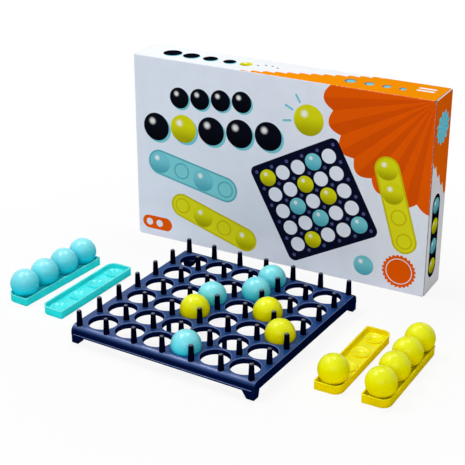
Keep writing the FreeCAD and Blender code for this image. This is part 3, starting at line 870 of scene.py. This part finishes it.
def add_board():
    """The board, with the lips of its front and back skirts rounded."""
    bm = merged_copy("peg_board")
    low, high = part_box("peg_board")
    lips = [e for e in bm.edges if all(min(v.co.y - low.y, high.y - v.co.y) < 0.01 * MM for v in e.verts)]
    lips = [e for e in lips if len(e.link_faces) == 2 and e.calc_face_angle() > 1]
    bmesh.ops.bevel(bm, geom=lips, offset=BOARD_LIP_ROUNDING, affect="EDGES", segments=3, profile=0.5, material=-1)
    piece = new_piece("peg_board_moulding", bm, [BOARD_PLASTIC], "peg_board", 32)
    weights = piece.modifiers.new("even_shading", "WEIGHTED_NORMAL")
    weights.keep_sharp = True


def carton_local(point):
    """A point in the carton's own millimetres, from its front bottom left corner."""
    turned_back = Matrix.Rotation(-CARTON_TURN, 3, "Z") @ (point - CARTON_CORNER)
    return turned_back / MM


def carton_finish(node, centre, normal):
    """Which of the carton's finishes a face takes: a print, the bare inside, a cut edge or the plain white side."""
    panel_axes = (1, 2) if node == "carton_sleeve" else (1,) if "tongue" in node else (0,)
    axis = max(range(3), key=lambda i: abs(normal[i]))
    if axis not in panel_axes:
        return CUT_EDGE
    size = (CARTON_LENGTH, CARTON_DEPTH, CARTON_HEIGHT)[axis]
    far_side = centre[axis] > size / 2
    if (normal[axis] > 0) != far_side:
        return BARE_INSIDE
    if "dust" in node or "tongue" in node:
        return PLAIN_WHITE
    under = size - centre[axis] if far_side else centre[axis]
    return BARE_INSIDE if under > 1 else axis + 3 * far_side


def add_carton_piece(node):
    bm = merged_copy(node)
    piece = new_piece(node + "_printed", bm, CARTON_FINISHES, node, 30)
    turn_back = Matrix.Rotation(-CARTON_TURN, 3, "Z")
    for face in piece.data.polygons:
        face.material_index = carton_finish(node, carton_local(face.center), turn_back @ face.normal)


# The board's and pegs' side colours are painted shade on skirts, hole walls and peg stems, and their edge colours
# painted highlights on the rims, the rolled front edge and the peg tips.
BOARD_PLASTIC = moulded_plastic("board_plastic_satin", (0.009, 0.055, 0.22, 1), 0.3, 0.29, 0.4,
                                side_painted_shade=(0.001, 0.005, 0.04, 1), edge_painted_highlight=(0.14, 0.2, 0.46, 1))
PEG_PLASTIC = moulded_plastic("peg_plastic_dark", (0.001, 0.003, 0.02, 1), 0.28, 0.5, 0.3,
                              side_painted_shade=(0.0005, 0.001, 0.01, 1), edge_painted_highlight=(0.14, 0.16, 0.26, 1))
# Each ball's first colour is its top, painted paler as painted light, its second the painted shade of its under
# side, and its third its seam.
BALL_PLASTICS = {
    "cyan": ball_plastic("cyan_ball_gloss", srgb(136, 240, 252), srgb(0, 212, 234), srgb(80, 200, 220), 0.8),
    "yellow": ball_plastic("yellow_ball_gloss", srgb(247, 254, 0), srgb(246, 228, 0), srgb(210, 205, 0), 0.4),
}
LIP_START = TRAY_HEIGHT - LIP_HEIGHT
# Each tray's side colour is painted shade on its walls, and its lip colour a painted highlight along the lip.
TRAY_PLASTICS = {
    "cyan": moulded_plastic("cyan_tray_gloss", srgb(66, 242, 245), 0.22, 0.4, 0.3, 0.2,
                            side_painted_shade=srgb(44, 236, 238), lip=(LIP_START, srgb(104, 248, 248))),
    "yellow": moulded_plastic("yellow_tray_gloss", srgb(252, 248, 0), 0.22, 0.3, 0.3, 0.2,
                              side_painted_shade=srgb(250, 222, 0), lip=(LIP_START, srgb(254, 242, 20))),
}
END_PRINT, FRONT_PRINT, BOTTOM_PRINT = end_print(), front_print(), bottom_print()
BACK_PRINT, TOP_PRINT = back_print(), top_print()
CARTON_FINISHES = [END_PRINT, FRONT_PRINT, BOTTOM_PRINT, END_PRINT, BACK_PRINT, TOP_PRINT]
CARTON_FINISHES += [bare_board(), cut_edge(), plain_white_card()]
BARE_INSIDE, CUT_EDGE, PLAIN_WHITE = 6, 7, 8

add_balls()
add_pegs()
add_board()
for tray_node, tray_place in TRAY_PLACES.items():
    add_tray(tray_node, tray_place)
for carton_node in frame["nodes"]:
    if carton_node == "carton_sleeve":
        add_carton_piece(carton_node)
    elif "flap" in carton_node or "tongue" in carton_node:
        add_carton_piece(carton_node)
new_piece("challenge_cards_printed", merged_copy("challenge_cards"), [card_print()], "challenge_cards")
new_piece("rules_sheet_printed", merged_copy("rules_sheet"), [paper_sheet()], "rules_sheet")


# The stage


def rays_that_see(tree):
    """1 for a ray that shows the stage to the camera, straight, through something or in a reflection."""
    path = tree.add("ShaderNodeLightPath").outputs
    seen = tree.maths("MAXIMUM", path["Is Camera Ray"], path["Is Transmission Ray"])
    return tree.maths("MAXIMUM", seen, path["Is Glossy Ray"])


def add_floor():
    """A pale floor that keeps the shadows round the set and fades to white further out."""
    bm = bmesh.new()
    bmesh.ops.create_grid(bm, x_segments=1, y_segments=1, size=FLOOR_REACH)
    mesh = bpy.data.meshes.new("floor")
    bm.to_mesh(mesh)
    bm.free()
    floor = bpy.data.objects.new("floor", mesh)
    bpy.context.scene.collection.objects.link(floor)
    material, tree, shader, point = new_material("pale_floor")
    shader.inputs["Base Color"].default_value = FLOOR_SHADE
    shader.inputs["Roughness"].default_value = 1.0
    shader.inputs["Specular IOR Level"].default_value = 0.0
    white = tree.add("ShaderNodeEmission", {"Color": (1, 1, 1, 1), "Strength": 1.0})
    far = tree.ramp(tree.vector("LENGTH", point), *FLOOR_FADE, FLOOR_WHITE_NEAR_SET, 1.0)
    fade = tree.maths("MULTIPLY", rays_that_see(tree), far)
    both = tree.add("ShaderNodeMixShader", {0: fade, 1: shader.outputs[0], 2: white.outputs[0]})
    tree.put(material.node_tree.nodes["Material Output"].inputs["Surface"], both.outputs[0])
    mesh.materials.append(material)


def add_lamp(name, place, aim, size, watts):
    data = bpy.data.lights.new(name, "AREA")
    data.shape = "RECTANGLE"
    data.size, data.size_y = size
    data.energy = watts
    lamp = bpy.data.objects.new(name, data)
    bpy.context.scene.collection.objects.link(lamp)
    lamp.location = place
    lamp.rotation_euler = (Vector(aim) - Vector(place)).to_track_quat("-Z", "Y").to_euler()


def add_world(strength):
    """Even studio light of the strength given, in front of plain white."""
    world = bpy.data.worlds.new("studio")
    bpy.context.scene.world = world
    world.use_nodes = True
    tree = Tree(world.node_tree)
    ground = world.node_tree.nodes["Background"]
    ground.inputs["Color"].default_value = (1, 1, 1, 1)
    ground.inputs["Strength"].default_value = strength
    seen = tree.add("ShaderNodeBackground", {"Color": (1, 1, 1, 1), "Strength": 1.0})
    inputs = {0: rays_that_see(tree), 1: ground.outputs[0], 2: seen.outputs[0]}
    choice = tree.add("ShaderNodeMixShader", inputs)
    tree.put(world.node_tree.nodes["World Output"].inputs["Surface"], choice.outputs[0])


def add_camera():
    data = bpy.data.cameras.new("camera")
    data.sensor_width = CAMERA_SENSOR
    data.lens = CAMERA_LENS
    camera = bpy.data.objects.new("camera", data)
    bpy.context.scene.collection.objects.link(camera)
    camera.location = BOARD_MIDDLE + CAMERA_PLACE * MM
    camera.rotation_euler = CAMERA_AIM.to_track_quat("-Z", "Y").to_euler()
    data.clip_start = 0.05
    bpy.context.scene.camera = camera


add_floor()
add_camera()
add_world(STUDIO_LIGHT)
for lamp_name, lamp_settings in SOFTBOXES.items():
    add_lamp(lamp_name, *lamp_settings)
bpy.context.scene.view_settings.view_transform = "Standard"
